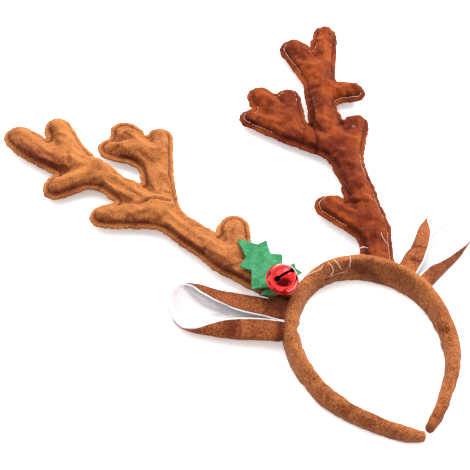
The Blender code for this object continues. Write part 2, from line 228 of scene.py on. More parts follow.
# Threads through their places, as one mesh
def threadPiece(name, runs, radius):
    curve = bpy.data.curves.new(name, "CURVE")
    curve.dimensions = "3D"
    curve.bevel_depth = radius
    curve.bevel_resolution = 1
    curve.resolution_u = 6
    curve.use_fill_caps = True
    for places in runs:
        spline = curve.splines.new("BEZIER")
        spline.bezier_points.add(len(places) - 1)
        for knot, place in zip(spline.bezier_points, places):
            knot.co = place
            knot.handle_left_type = "AUTO"
            knot.handle_right_type = "AUTO"
    drawn = addPiece(name + "Curve", curve)
    depsgraph = bpy.context.evaluated_depsgraph_get()
    mesh = bpy.data.meshes.new_from_object(drawn.evaluated_get(depsgraph))
    bpy.data.objects.remove(drawn)
    mesh.name = name
    mesh.materials.clear()
    mesh.shade_smooth()
    return addPiece(name, mesh)


# Node helpers for the materials

def addNode(tree, kind, inputs=None, **settings):
    item = tree.nodes.new(kind)
    for key, value in settings.items():
        setattr(item, key, value)
    for key, value in (inputs or {}).items():
        if isinstance(value, bpy.types.NodeSocket):
            tree.links.new(value, item.inputs[key])
        else:
            item.inputs[key].default_value = value
    return item


def doMath(tree, operation, first, second=0.0, clamp=False):
    item = addNode(tree, "ShaderNodeMath", {0: first, 1: second}, operation=operation, use_clamp=clamp)
    return item.outputs[0]


def mixColours(tree, factor, first, second, blend="MIX"):
    item = addNode(tree, "ShaderNodeMix", {0: factor, 6: first, 7: second},
                   data_type="RGBA", blend_type=blend)
    return item.outputs[2]


def spread(tree, value, low, high, toLow=0.0, toHigh=1.0):
    item = addNode(tree, "ShaderNodeMapRange", {0: value, 1: low, 2: high, 3: toLow, 4: toHigh})
    item.interpolation_type = "SMOOTHSTEP"
    return item.outputs[0]


# Noise whose bumps are about this size in metres
def noiseAt(tree, vector, size, detail=2.0, roughness=0.5):
    item = addNode(tree, "ShaderNodeTexNoise",
                   {"Vector": vector, "Scale": 1.0 / size, "Detail": detail, "Roughness": roughness})
    return item.outputs[0]


def newGroup(name, inputs, outputs):
    group = bpy.data.node_groups.new(name, "ShaderNodeTree")
    for label, kind, value in inputs:
        socket = group.interface.new_socket(label, in_out="INPUT", socket_type=kind)
        if value is not None:
            socket.default_value = value
    for label, kind in outputs:
        group.interface.new_socket(label, in_out="OUTPUT", socket_type=kind)
    return group, group.nodes.new("NodeGroupInput"), group.nodes.new("NodeGroupOutput")


floatSocket, colourSocket, vectorSocket = "NodeSocketFloat", "NodeSocketColor", "NodeSocketVector"


# Short pile: brushed patches of light and deep nap, a speckle of fibres, painted light and shade from the nap
# input, and painted shadow in creases and along seams
def makeVelvetGroup():
    group, given, result = newGroup(
        "velvetPile",
        [("Vector", vectorSocket, None), ("Light", colourSocket, (0.6, 0.25, 0.08, 1)),
         ("Deep", colourSocket, (0.2, 0.04, 0.01, 1)), ("Balance", floatSocket, 0.5),
         ("Patches", floatSocket, 0.5), ("Mottle", floatSocket, 0.2), ("Speckle", floatSocket, 0.5),
         ("Crease shadow", floatSocket, 0.0), ("Nap and painted light", floatSocket, 0.0), ("Patch scale", floatSocket, 60.0)],
        [("Colour", colourSocket), ("Roughness", floatSocket), ("Height", floatSocket)])
    vector = given.outputs["Vector"]
    brushed = addNode(group, "ShaderNodeTexNoise", {
        "Vector": vector, "Scale": given.outputs["Patch scale"], "Detail": 3.0, "Roughness": 0.55,
        "Distortion": 0.6})
    wide = brushed.outputs[0]
    narrow = noiseAt(group, vector, 0.0060, 3.0, 0.6)
    grain = noiseAt(group, vector, 0.0016, 2.0, 0.6)
    fibre = noiseAt(group, vector, 0.0008, 2.0, 0.7)
    level = given.outputs["Balance"]
    for pattern, amount in ((wide, "Patches"), (narrow, "Mottle")):
        soft = spread(group, pattern, 0.32, 0.68, -0.5, 0.5)
        level = doMath(group, "ADD", level, doMath(group, "MULTIPLY", soft, given.outputs[amount]))
    # Painted light and shade: the nap mask also holds the side towards the key light painted paler and
    # painted shade strokes
    level = doMath(group, "ADD", level, given.outputs["Nap and painted light"])
    speckles = doMath(group, "ADD", spread(group, grain, 0.3, 0.7, -0.5, 0.5),
                      spread(group, fibre, 0.32, 0.68, -0.5, 0.5))
    speckles = doMath(group, "MULTIPLY", speckles, given.outputs["Speckle"])
    level = doMath(group, "ADD", level, speckles, clamp=True)
    colour = mixColours(group, level, given.outputs["Deep"], given.outputs["Light"])
    # Painted shadow: colour darkened towards a red-brown where the crease shadow mask lies
    shadow = mixColours(group, 1.0, colour, (0.46, 0.28, 0.24, 1), "MULTIPLY")
    colour = mixColours(group, given.outputs["Crease shadow"], colour, shadow)
    height = doMath(group, "ADD", fibre, doMath(group, "MULTIPLY", grain, 0.7))
    group.links.new(colour, result.inputs["Colour"])
    group.links.new(spread(group, grain, 0.3, 0.7, 0.8, 1.0), result.inputs["Roughness"])
    group.links.new(height, result.inputs["Height"])
    return group


# A material with its shader, whose fixed values sit on the shader's own sockets
def newMaterial(name, roughness=0.9, **constants):
    material = bpy.data.materials.new(name)
    material.use_nodes = True
    tree = material.node_tree
    shader = tree.nodes["Principled BSDF"]
    shader.inputs["Roughness"].default_value = roughness
    for label, value in constants.items():
        shader.inputs[label.replace("_", " ")].default_value = value
    return material, tree, shader


def addBump(tree, shader, height, distance, strength=1.0):
    bump = addNode(tree, "ShaderNodeBump", {"Strength": strength, "Distance": distance, "Height": height})
    tree.links.new(bump.outputs[0], shader.inputs["Normal"])


def readMask(tree, name):
    return addNode(tree, "ShaderNodeAttribute", attribute_name=name).outputs["Fac"]


def makeVelvet(name, settings):
    material, tree, shader = newMaterial(
        name, Sheen_Weight=settings["sheen"], Sheen_Roughness=0.38,
        Sheen_Tint=(*settings["sheenTint"], 1.0), Specular_IOR_Level=0.12)
    group = addNode(tree, "ShaderNodeGroup", node_tree=velvetGroup)
    tree.links.new(addNode(tree, "ShaderNodeTexCoord").outputs["Object"], group.inputs["Vector"])
    tree.links.new(readMask(tree, "creaseShadow"), group.inputs["Crease shadow"])
    tree.links.new(readMask(tree, "napAndPaintedLight"), group.inputs["Nap and painted light"])
    for label in ("Light", "Deep"):
        group.inputs[label].default_value = (*settings[label.lower()], 1.0)
    for label in ("Balance", "Patches", "Mottle", "Speckle", "Patch scale"):
        group.inputs[label].default_value = settings[label.lower()]
    tree.links.new(group.outputs["Colour"], shader.inputs["Base Color"])
    tree.links.new(group.outputs["Roughness"], shader.inputs["Roughness"])
    addBump(tree, shader, group.outputs["Height"], settings["bump"])
    return material


velvetGroup = makeVelvetGroup()
velvets = {
    "paintedLitSide": (0.82, 0.48, 0.30),  # faces turned this way are painted paler, standing in for the key light from this side, with a little nap
    "antlerLight": {
        "light": (0.430, 0.158, 0.043), "deep": (0.160, 0.034, 0.011), "balance": 0.52, "patches": 0.20,
        "mottle": 0.16, "speckle": 0.42, "paintedSideShare": 0.26, "patch scale": 40.0, "sheen": 0.14,
        "sheenTint": (1.0, 0.68, 0.38), "bump": 0.0008},
    "antlerDark": {
        "light": (0.265, 0.051, 0.0085), "deep": (0.092, 0.0105, 0.0035), "balance": 0.43, "patches": 0.50,
        "mottle": 0.30, "speckle": 0.34, "paintedSideShare": 0.16, "patch scale": 48.0, "sheen": 0.07,
        "sheenTint": (1.0, 0.50, 0.25), "bump": 0.0008},
    "band": {
        "light": (0.390, 0.135, 0.040), "deep": (0.120, 0.023, 0.008), "balance": 0.50, "patches": 0.30,
        "mottle": 0.20, "speckle": 0.56, "paintedSideShare": 0.12, "patch scale": 46.0, "sheen": 0.15,
        "sheenTint": (1.0, 0.68, 0.42), "bump": 0.0008},
    "ear": {
        "light": (0.340, 0.104, 0.032), "deep": (0.094, 0.015, 0.005), "balance": 0.48, "patches": 0.34,
        "mottle": 0.28, "speckle": 0.56, "paintedSideShare": 0.14, "patch scale": 50.0, "sheen": 0.12,
        "sheenTint": (1.0, 0.66, 0.42), "bump": 0.0008},
}


# Painted light and shade: faces turned towards the key light's side are painted paler and the far side
# darker, partly for the nap
def paintedSideLight(mesh, velvet):
    return readNormals(mesh) @ np.array(velvets["paintedLitSide"]) * velvets[velvet]["paintedSideShare"]


def makeThreadMaterial(name, colour):
    material, _, shader = newMaterial(name, 0.6, Specular_IOR_Level=0.3, Sheen_Weight=0.2)
    shader.inputs["Base Color"].default_value = (*colour, 1.0)
    return material


threads = {
    "pale": makeThreadMaterial("paleThread", (0.58, 0.30, 0.18)),
    "brown": makeThreadMaterial("brownThread", (0.11, 0.028, 0.012)),
    "white": makeThreadMaterial("whiteThread", (0.62, 0.50, 0.46)),
}


# The stuffed antlers

antlers = {
    "voxel": 1.9 * mm,
    "seamInset": 4.6 * mm,
    "pinBand": 0.8 * mm,
    "wallHeight": 3.4 * mm,
    "wallTilt": 0.3,
    "clearOfHoop": 68.0 * mm,
    "chainStep": 0.6 * mm,
    "footBottom": 55,
    "footTop": 135,
    "footHeight": 12.2 * mm,
    "cloth": {"pressure": 4.0, "spareCloth": -0.05, "bending": 1.6, "frames": 20, "capOut": 3.0 * mm},
    "rimWave": 1.0 * mm,
    "rimScallop": 0.7 * mm,
    "rimWaveSize": 7.0 * mm,
    "rimScallopSize": 5.5 * mm,
    "puckerSize": 3.6 * mm,
    "puckerDepth": 0.75 * mm,
    "puckerReach": 4.0 * mm,
    "puckerNap": 0.25,
    "seamGroove": 0.7 * mm,
    "seamGrooveHalf": 1.0 * mm,
    "seamShadeHalf": 1.2 * mm,
    "swellSize": 16.0 * mm,
    "swell": 0.55 * mm,
    "shoulder": 0.45,
    "creaseShade": 0.7,
    "flatShare": 0.3,
    "flatFromPad": 2.5 * mm,
    "flatFade": 4.0 * mm,
    "padShade": 0.8,
    "padShadeAt": 1.5 * mm,
    "padShadeHalf": 1.3 * mm,
    "stitchSpacing": 2.7 * mm,
    "stitches": {"pale": {"length": 3.1 * mm, "radius": 0.34 * mm},
                 "brown": {"length": 2.3 * mm, "radius": 0.26 * mm}},
    "notchReach": 11.0 * mm,
    "notchTight": 5.0 * mm,
    "notchSlit": 0.9 * mm,
    "notchDepth": 14.0 * mm,
    "notchApart": 8.0 * mm,
    "notchFacing": -0.2,
    "notchAhead": 0.5,
    "pieces": {
        "antler_left": {
            "name": "antlerLeft", "slot": "antler_velvet_light", "velvet": "antlerLight", "seed": 3,
            "rimNap": 0.12,
            "napAndPaintedLight": [((-192, 258), (-175, 232), 8, -0.30), ((-182, 206), (-157, 207), 7, -0.38),
                    ((-138, 159), (-120, 145), 7, -0.32), ((-109, 131), (-88, 73), 9, -0.28),
                    ((-119, 226), (-108, 222), 8, -0.22), ((-100, 128), (-84, 95), 9, -0.12),
                    ((-161, 274), (-156, 242), 9, 0.26), ((-119, 179), (-105, 158), 8, 0.24),
                    ((-176, 222), (-160, 222), 6, 0.2), ((-66, 115), (-70, 108), 9, -0.12)],
            "creases": [((-136, 176), (-115, 173.5), 1.6, 1.3), ((-115, 173.5), (-103, 167), 1.6, 1.2),
                        ((-102.5, 179), (-93, 171), 1.6, 1.1), ((-148, 205), (-158, 201), 1.6, 0.9),
                        ((-165, 244), (-168, 234), 1.6, 0.8), ((-90, 186), (-96, 176), 1.3, 0.8)],
            "flats": [((-56, 132), 26, (-66, 112), 14), ((-108, 259), 20, (-108.5, 238), 13.8)],
            "pale": [],
        },
        "antler_right": {
            "name": "antlerRight", "slot": "antler_velvet_dark", "velvet": "antlerDark", "seed": 8,
            "rimNap": -0.10,
            "napAndPaintedLight": [((78, 298), (80, 292), 7, -0.4), ((90, 254), (86, 262), 8, -0.35),
                    ((72, 238), (66, 222), 5, -0.4), ((40, 235), (46, 246), 9, -0.35),
                    ((89, 200), (84, 192), 8, -0.35), ((64, 180), (60, 160), 10, -0.4),
                    ((38, 112), (44, 74), 11, -0.35), ((52, 206), (46, 212), 7, -0.25),
                    ((106, 304), (104, 282), 6, 0.40), ((70, 274), (76, 258), 8, 0.40),
                    ((92, 236), (100, 236), 7, 0.35), ((84, 180), (76, 158), 7, 0.45),
                    ((17, 254), (14, 240), 7, 0.25), ((20, 114), (36, 98), 6, 0.40),
                    ((70, 226), (64, 206), 5, 0.30), ((8, 222), (30, 214), 7, 0.20)],
            "creases": [((64.6, 236.6), (53.6, 212), 1.8, 1.3), ((53.6, 212), (43.2, 181), 1.8, 1.5),
                        ((40, 204), (35, 194), 1.8, 1.1), ((67, 120), (64, 104), 1.4, 1.0),
                        ((47, 120), (56, 112), 1.8, 0.9), ((72, 200), (80, 205), 1.6, 0.8)],
            "flats": [],
            "pale": [((78, 296), 25), ((4, 232), 20), ((49, 254), 15), ((100, 226), 16), ((22, 117), 20),
                     ((82, 153), 14), ((56, 66), 15), ((66, 110), 16)],
        },
    },
}


# Places along the cloth's cut edge, in order, with the directions inwards and ahead at each
def edgeChain(source):
    mesh = source.data
    links = {}
    outward = {}
    for polygon in mesh.polygons:
        onBand = (polygon.center - hoop).xy.length < antlers["clearOfHoop"]
        if onBand or abs(polygon.normal.z) > antlers["wallTilt"]:
            continue
        heights = [mesh.vertices[i].co.z for i in polygon.vertices]
        if max(heights) - min(heights) > antlers["wallHeight"]:
            continue
        middle = (max(heights) + min(heights)) / 2
        upper = [i for i, height in zip(polygon.vertices, heights) if height > middle]
        if len(upper) == 2:
            for first, second in (upper, upper[::-1]):
                links.setdefault(first, []).append(second)
                outward[first] = polygon.normal.xy.copy()
    ends = [index for index, near in links.items() if len(near) == 1]
    here = ends[0] if ends else next(iter(links))
    order, seen = [here], {here}
    while True:
        following = [index for index in links[here] if index not in seen]
        if not following:
            break
        here = following[0]
        seen.add(here)
        order.append(here)
    corners = np.array([mesh.vertices[i].co.xy[:] for i in order])
    steps = np.concatenate([[0], np.cumsum(np.linalg.norm(np.diff(corners, axis=0), axis=1))])
    along = np.arange(0, steps[-1], antlers["chainStep"])
    places = np.stack([np.interp(along, steps, corners[:, k]) for k in (0, 1)], axis=1)
    for _ in range(3):
        places[1:-1] = (places[:-2] + 2 * places[1:-1] + places[2:]) / 4
    ahead = np.gradient(places, axis=0)
    ahead /= np.maximum(np.linalg.norm(ahead, axis=1, keepdims=True), 1e-9)
    inward = np.stack([-ahead[:, 1], ahead[:, 0]], axis=1)
    if inward[3] @ np.array(outward[order[1]]) > 0:
        inward = -inward
    print("  edge chain", len(order), "of", len(links), "corners,", round(steps[-1] / mm), "mm")
    return places, inward, ahead


# How far each place on the cut edge moves outwards, so that two lobes nearly meet where they part
def notchPush(places, inward):
    push = np.zeros(len(places))
    index = np.arange(len(places))
    for i in index:
        gap = places - places[i]
        width = np.linalg.norm(gap, axis=1)
        apart = np.abs(index - i) * antlers["chainStep"]
        across = (width < antlers["notchReach"]) & (apart > antlers["notchApart"])
        across &= inward @ inward[i] < antlers["notchFacing"]
        across &= gap @ -inward[i] > antlers["notchAhead"] * width
        if across.any():
            least = width[across].min()
            share = (antlers["notchReach"] - least) / (antlers["notchReach"] - antlers["notchTight"])
            push[i] = max(0.0, least - antlers["notchSlit"]) / 2 * min(1.0, share)
    return np.convolve(push, np.full(7, 1 / 7), mode="same")


def nearestLookup(places):
    tree = KDTree(len(places))
    for index, place in enumerate(places):
        tree.insert((place[0], place[1], 0.0), index)
    tree.balance()
    return tree


def nearestEdge(points, tree):
    found = [tree.find((p[0], p[1], 0.0)) for p in points]
    return np.array([item[1] for item in found]), np.array([item[2] for item in found])


# Stitches along the antler's seam on its upper side, one piece for each thread colour
def sewSeam(piece, settings, places, inward, ahead, tree):
    seam = places + inward * antlers["seamInset"]
    _, depth = nearestEdge(seam, tree)
    surface = BVHTree.FromObject(piece, bpy.context.evaluated_depsgraph_get())
    meshes = {"pale": bmesh.new(), "brown": bmesh.new()}
    since = antlers["stitchSpacing"]
    for index in range(1, len(seam)):
        since += np.linalg.norm(seam[index] - seam[index - 1])
        if depth[index] < antlers["seamInset"] * 0.95 or since < antlers["stitchSpacing"]:
            continue
        hit, normal, _, _ = surface.ray_cast(Vector((*seam[index], 0.1)), Vector((0, 0, -1)))
        if hit is None:
            continue
        since = 0.0
        along = Vector((*ahead[index], 0.0))
        along = (along - normal * along.dot(normal)).normalized()
        pale = any((hit.xy - fromHoop(*place).xy).length < reach * mm for place, reach in settings["pale"])
        colour = "pale" if pale else "brown"
        addStitch(meshes[colour], hit, along, normal, **antlers["stitches"][colour])
    for colour, bm in meshes.items():
        if not bm.verts:
            bm.free()
            continue
        stitches = pieceFromBmesh(f"{settings['name']}Stitches{colour.capitalize()}", bm)
        stitches.data.materials.append(threads[colour])
        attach(stitches, "root")


def makeAntler(node, settings):
    piece = mergedCopy(settings["name"], node)
    places, inward, ahead = edgeChain(piece)
    tree = nearestLookup(places)
    voxelRemesh(piece, antlers["voxel"])
    inset = antlers["seamInset"]
    _, depth = nearestEdge(readPoints(piece.data), tree)
    held = np.clip((inset + antlers["pinBand"] - depth) / antlers["pinBand"], 0, 1)
    inflate(piece, held, antlers["cloth"])
    subdivide(piece, 1)
    points = readPoints(piece.data)
    nearest, depth = nearestEdge(points, tree)
    edge = np.column_stack([places[nearest], np.zeros(len(nearest))])
    pastFoot = points[:, 1] > fromHoop(0, antlers["footTop"]).y
    rest = float(np.median(points[(depth < inset / 2) & pastFoot][:, 2]))
    footLength = (antlers["footTop"] - antlers["footBottom"]) * mm
    share = np.clip((points[:, 1] - fromHoop(0, antlers["footBottom"]).y) / footLength, 0, 1)
    middle = antlers["footHeight"] + share * (rest - antlers["footHeight"])
    flatness = np.zeros(len(points))
    # Painted shadow along the seam groove and around the flat pads
    creaseShadow = np.exp(-((depth - inset) / antlers["seamShadeHalf"]) ** 2)
    for tip, reach, padAt, padRadius in settings["flats"]:
        fromTip = np.linalg.norm(points[:, :2] - np.array(fromHoop(*tip).xy), axis=1)
        fromPad = np.linalg.norm(points[:, :2] - np.array(fromHoop(*padAt).xy), axis=1) - padRadius * mm
        beyond = np.clip(fromPad / antlers["flatFromPad"], 0, 1)
        beyond *= np.clip((reach * mm - fromTip) / antlers["flatFade"], 0, 1)
        flatness = np.maximum(flatness, beyond)
        padShade = np.exp(-((fromPad - antlers["padShadeAt"]) / antlers["padShadeHalf"]) ** 2)
        creaseShadow += antlers["padShade"] * padShade * (fromTip < reach * mm)
    points[:, 2] = middle + (points[:, 2] - middle) * (1 - flatness * (1 - antlers["flatShare"]))
    writePoints(piece.data, points)
    normals = readNormals(piece.data)
    loose = np.clip(1 - depth / inset, 0, 1)
    pucker = waves(edge, antlers["puckerSize"], settings["seed"], 1)
    padSide = np.exp(-((depth - inset) / antlers["puckerReach"]) ** 2) * (depth > inset - 1 * mm)
    lift = pucker * padSide * antlers["puckerDepth"]
    lift -= np.exp(-((depth - inset) / antlers["seamGrooveHalf"]) ** 2) * antlers["seamGroove"]
    lift += waves(points, antlers["swellSize"], settings["seed"] + 2, 3) * antlers["swell"] * (depth > inset)
    # creases gathers painted shadow in the fold grooves
    creases = np.zeros(len(points))
    upper = normals[:, 2] > 0
    for start, end, width, deep in settings["creases"]:
        groove, shoulder = foldShape(points[:, :2], fromHoop(*start).xy, fromHoop(*end).xy, width)
        lift += (shoulder * antlers["shoulder"] - groove) * upper * deep * mm
        creases = np.maximum(creases, groove * upper * min(1.0, deep * antlers["creaseShade"]))
    points += normals * lift[:, None]
    reach = np.clip(1 - depth / antlers["notchDepth"], 0, 1) * notchPush(places, inward)[nearest]
    points[:, :2] -= inward[nearest] * reach[:, None]
    wave = waves(edge, antlers["rimWaveSize"], settings["seed"] + 5, 2)
    points[:, 2] += wave * np.sqrt(loose) * antlers["rimWave"]
    scallop = waves(edge, antlers["rimScallopSize"], settings["seed"] + 9, 2) * loose * antlers["rimScallop"]
    points[:, :2] += inward[nearest] * scallop[:, None]
    points[:, 2] = np.maximum(points[:, 2], 0.0)
    writePoints(piece.data, points)
    storeMask(piece.data, "creaseShadow", np.clip(np.maximum(creaseShadow, creases), 0, 1))
    # Nap patches and painted light and shade strokes, plus the side towards the key light painted paler
    napAndPaintedLight = paint(points, settings["napAndPaintedLight"]) + settings["rimNap"] * (depth < inset)
    napAndPaintedLight += paintedSideLight(piece.data, settings["velvet"])
    storeMask(piece.data, "napAndPaintedLight", napAndPaintedLight + antlers["puckerNap"] * pucker * padSide)
    piece.data.materials.append(makeVelvet(settings["name"], velvets[settings["velvet"]]))
    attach(piece, "root")
    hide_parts(node)
    sewSeam(piece, settings, places, inward, ahead, tree)
    print("antler", settings["name"], len(piece.data.polygons), "faces")


# The padded band

band = {
    "voxel": 1.5 * mm,
    "seamHeight": 12.5 * mm,
    "seamHalf": 3.0 * mm,
    "insideFacing": 0.75,
    "restingEdge": 0.6 * mm,
    "seed": 21,
    "swellSize": 13.0 * mm,
    "swell": 0.5 * mm,
    "shoulder": 0.4,
    "creaseShade": 0.55,
    "cloth": {"pressure": 3.0, "spareCloth": -0.04, "bending": 1.0, "frames": 16, "capOut": 1.3 * mm},
    # Nap tone strokes, with painted shade on the crown's inner face and painted light along the crown's top
    "napAndPaintedLight": [((8.5, 55, 27), (20, 52, 18), 5, -0.45), ((20, 52, 18), (34, 43, 9), 5, -0.5),
            ((-30, 46, 14), (-12, 54, 12), 5, -0.35), ((54, -14, 22), (58, -34, 8), 3, -0.3),
            ((22, -88, 8), (14, -96, 8), 8, -0.4), ((0, 62, 30), (24, 62, 30), 5, 0.25),
            ((50, 36, 24), (60, 5, 24), 6, 0.10), ((60, 0, 14), (60, -50, 10), 5, 0.2),
            ((-20, -85, 12), (-50, -55, 14), 6, -0.12)],
    "folds": [((50, 4, 29), (58, -26, 8), 2.0, 1.4), ((54, -8, 29), (61, -42, 7), 2.0, 1.3),
              ((46, 22, 27), (56, 2, 10), 2.4, 0.8), ((-55, 16, 22), (-50, 26, 4), 2.2, 1.2),
              ((-55, 4, 20), (-55, -8, 4), 2.2, 1.3), ((-36, 48, 24), (-40, 40, 6), 2.4, 1.2),
              ((-18.5, 54, 18), (6.5, 52, 20), 1.4, 1.2), ((-30, 50, 16), (-18.5, 54, 18), 1.4, 0.8),
              ((14, -84, 12), (4, -92, 6), 2.0, 0.6), ((26, 58, 30), (38, 50, 29), 2.0, 0.5)],
}


def makeBand():
    piece = mergedCopy("bandVelvet", "headband")
    voxelRemesh(piece, band["voxel"])
    points = readPoints(piece.data)
    towards = np.array(hoop)[None, :2] - points[:, :2]
    towards /= np.linalg.norm(towards, axis=1, keepdims=True)
    inside = (readNormals(piece.data)[:, :2] * towards).sum(axis=1) > band["insideFacing"]
    held = np.where(inside & (np.abs(points[:, 2] - band["seamHeight"]) < band["seamHalf"]), 1.0, 0.0)
    held = np.maximum(held, np.where(points[:, 2] < band["restingEdge"], 1.0, 0.0))
    inflate(piece, held, band["cloth"])
    subdivide(piece, 1)
    points = readPoints(piece.data)
    # creases gathers painted shadow in the fold grooves
    creases = np.zeros(len(points))
    lift = waves(points, band["swellSize"], band["seed"], 2) * band["swell"]
    for start, end, width, deep in band["folds"]:
        groove, shoulder = foldShape(points, fromHoop(*start), fromHoop(*end), width)
        lift += (shoulder * band["shoulder"] - groove) * deep * mm
        creases = np.maximum(creases, groove * min(1.0, deep * band["creaseShade"]))
    points += readNormals(piece.data) * lift[:, None]
    points[:, 2] = np.maximum(points[:, 2], 0.0)
    writePoints(piece.data, points)
    storeMask(piece.data, "creaseShadow", creases)
    storeMask(piece.data, "napAndPaintedLight", paint(points, band["napAndPaintedLight"], 3) + paintedSideLight(piece.data, "band"))
    piece.data.materials.append(makeVelvet("bandVelvet", velvets["band"]))
    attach(piece, "root")
    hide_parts("headband")
    print("band", len(piece.data.polygons), "faces")


# The ears: velvet outside, white cloth inside, each folded lengthwise

ears = {
    "stations": 76,
    "arcSteps": 64,
    "velvetThick": 1.5 * mm,
    "velvetDepth": 0.8,
    "liningThick": 0.9 * mm,
    "liningDepth": 2.5,
    "pipingDegrees": 8.0,
    "hemDegrees": 3.0,
    "hemShare": 0.07,
    "start": -7.0,
    "swellSize": 14.0 * mm,
    "swell": 0.5 * mm,
    "grooveDepth": 0.5 * mm,
    "liningDeep": (0.74, 0.71, 0.725, 1),
    "liningLight": (0.80, 0.78, 0.785, 1),
    # Painted shade colours: inside the ear's hollow, and in the lining's creases
    "liningHollowShade": (0.37, 0.33, 0.35, 1),
    "liningCreaseShade": (0.24, 0.20, 0.22, 1),
    "creaseShade": 0.45,
    "pieces": {
        "Left": {
            "base": (-60, 36), "axis": (-0.885, 0.465), "velvetNode": "ear_left_outer",
            "liningNode": "ear_left_lining", "seed": 11,
            "rows": [(-12, -5.6, 14.2, 13.4, 8, 2, -14), (0, -5, 16.4, 12.9, 8, 2, -12),
                     (10, -3.9, 19, 12.4, 8, 3, -10), (25, -3.6, 20.6, 11.6, 7.8, 7, -7),
                     (42, -3, 21.5, 10.6, 7.6, 16, -6), (55, -1.3, 21.9, 9.6, 7.4, 32, -8),
                     (66, 0.7, 22.8, 9, 7.2, 51, -13), (76, 2.4, 21.5, 8.8, 7, 81, -10),
                     (84, 5.4, 18.8, 8.6, 6.8, 113, -6), (90, 7.5, 14.3, 8.4, 6.6, 162, 1)],
            "napAndPaintedLight": [((-103, 35), (-99, 48), 5, -0.55), ((-93, 34), (-78, 28), 6, 0.12),
                    ((-86, 40), (-84, 48), 4, -0.2), ((-70, 50), (-62, 40), 5, -0.2)],
            # Creases with painted shadow; the second paints the dark shadow where the ear meets the band
            "creases": [((-97, 33), (-93.5, 45), 1.0, 0.9), ((-71, 17), (-52, 52), 3.6, 1.9)],
            "liningCreases": [((-119, 89), (-110, 70), 1.8, 0.9), ((-110, 70), (-97, 57), 1.8, 0.9),
                              ((-125, 62), (-103, 58), 1.8, 0.7)],
            # Painted shade in the lining's hollow, and a painted shade stroke towards the tip
            "hollow": 0.12, "liningShade": [((-136, 58), (-130, 92), 15, 0.75)],
            "velvetFlat": (0.0970, 0.0843), "velvetArea": 0.006665,
            "liningFlat": (0.0970, 0.0747), "liningArea": 0.005885,
        },
        "Right": {
            "base": (62.5, 38), "axis": (0.870, 0.492), "velvetNode": "ear_right_outer",
            "liningNode": "ear_right_lining", "seed": 17,
            "rows": [(-12, -3.6, 15.6, 14, 8, 4, -8), (10, -2.4, 17.3, 13.4, 8, 12, -10),
                     (20, -2.3, 17.9, 12.6, 7.8, 23, -12), (33, -1.5, 19.9, 11, 7.6, 33, -13),
                     (47, 0.3, 21.6, 9.8, 7.4, 47, -12), (59, 1, 21.5, 9, 7.2, 75, -2),
                     (70, 1.7, 20.1, 8.8, 7, 109, 2), (80, 2.3, 19.1, 8.8, 6.8, 135, -1),
                     (90.9, 2.5, 17.4, 8.6, 6.6, 167, -6)],
            "napAndPaintedLight": [((72, 58), (80, 64), 5, -0.2), ((78, 30), (128, 56), 11, -0.34)],
            "creases": [((72, 60), (80, 54), 1.4, 0.8), ((64, 46), (74, 36), 2.2, 1.0)],
            "liningCreases": [((92, 66), (120, 78), 1.8, 0.8), ((100, 62), (124, 66), 1.8, 0.6)],
            "hollow": 0.75, "liningShade": [],
            "velvetFlat": (0.0979, 0.0707), "velvetArea": 0.005277,
            "liningFlat": (0.0979, 0.0611), "liningArea": 0.004623,
        },
    },
}


# Value of a table column at a distance along it, with smooth slopes between the rows
def readTable(rows, column, along):
    xs = [row[0] for row in rows]
    ys = [row[column] for row in rows]
    k = max(0, min(len(xs) - 2, int(np.searchsorted(xs, along)) - 1))
    slopes = []
    for i in (k, k + 1):
        low, high = max(0, i - 1), min(len(xs) - 1, i + 1)
        slopes.append((ys[high] - ys[low]) / (xs[high] - xs[low]))
    span = xs[k + 1] - xs[k]
    t = (along - xs[k]) / span
    return ((2 * t ** 3 - 3 * t ** 2 + 1) * ys[k] + (t ** 3 - 2 * t ** 2 + t) * span * slopes[0]
            + (3 * t ** 2 - 2 * t ** 3) * ys[k + 1] + (t ** 3 - t ** 2) * span * slopes[1])


# Rows of places over one layer of an ear, the sheet running round each station from edge to edge
def earPlaces(settings, depth, hem, piping):
    base = fromHoop(*settings["base"])
    axis = Vector((*settings["axis"], 0))
    across = Vector((axis.y * math.copysign(1, -axis.x), abs(axis.x), 0))
    rows = settings["rows"]
    grid = []
    for station in range(ears["stations"]):
        along = ears["start"] + (rows[-1][0] - ears["start"]) * station / (ears["stations"] - 1)
        middle, halfWidth, high, halfHeight, opening, slit = (readTable(rows, k, along) for k in range(1, 7))
        opening = min(172.0, max(1.5, opening)) + hem
        line = []
        for step in range(ears["arcSteps"]):
            share = step / (ears["arcSteps"] - 1)
            angle = opening + (360 - 2 * opening) * share
            fromEdge = min(angle - opening, 360 - opening - angle)
            inner = depth
            if piping:
                inner -= (depth - ears["velvetDepth"]) * max(0.0, 1 - fromEdge / piping) ** 2
            turn = math.radians(angle + slit)
            sideways = middle + (halfWidth - inner) * math.sin(turn)
            upward = high + (halfHeight - inner) * math.cos(turn)
            line.append(base + axis * (along * mm) + across * (sideways * mm) + Vector((0, 0, upward * mm)))
        grid.append(line)
    return grid


def sheetFromGrid(name, grid):
    bm = bmesh.new()
    bmesh.ops.create_grid(bm, x_segments=len(grid) - 1, y_segments=len(grid[0]) - 1, size=0.5)
    inner = []
    for vert in bm.verts:
        row = round((vert.co.x + 0.5) * (len(grid) - 1))
        column = round((vert.co.y + 0.5) * (len(grid[0]) - 1))
        fromEdge = 0.5 - abs(vert.co.y)
        inner.append(min(1.0, max(0.0, (fromEdge - ears["hemShare"]) / ears["hemShare"])))
        vert.co = grid[row][column]
    return pieceFromBmesh(name, bm), np.array(inner)


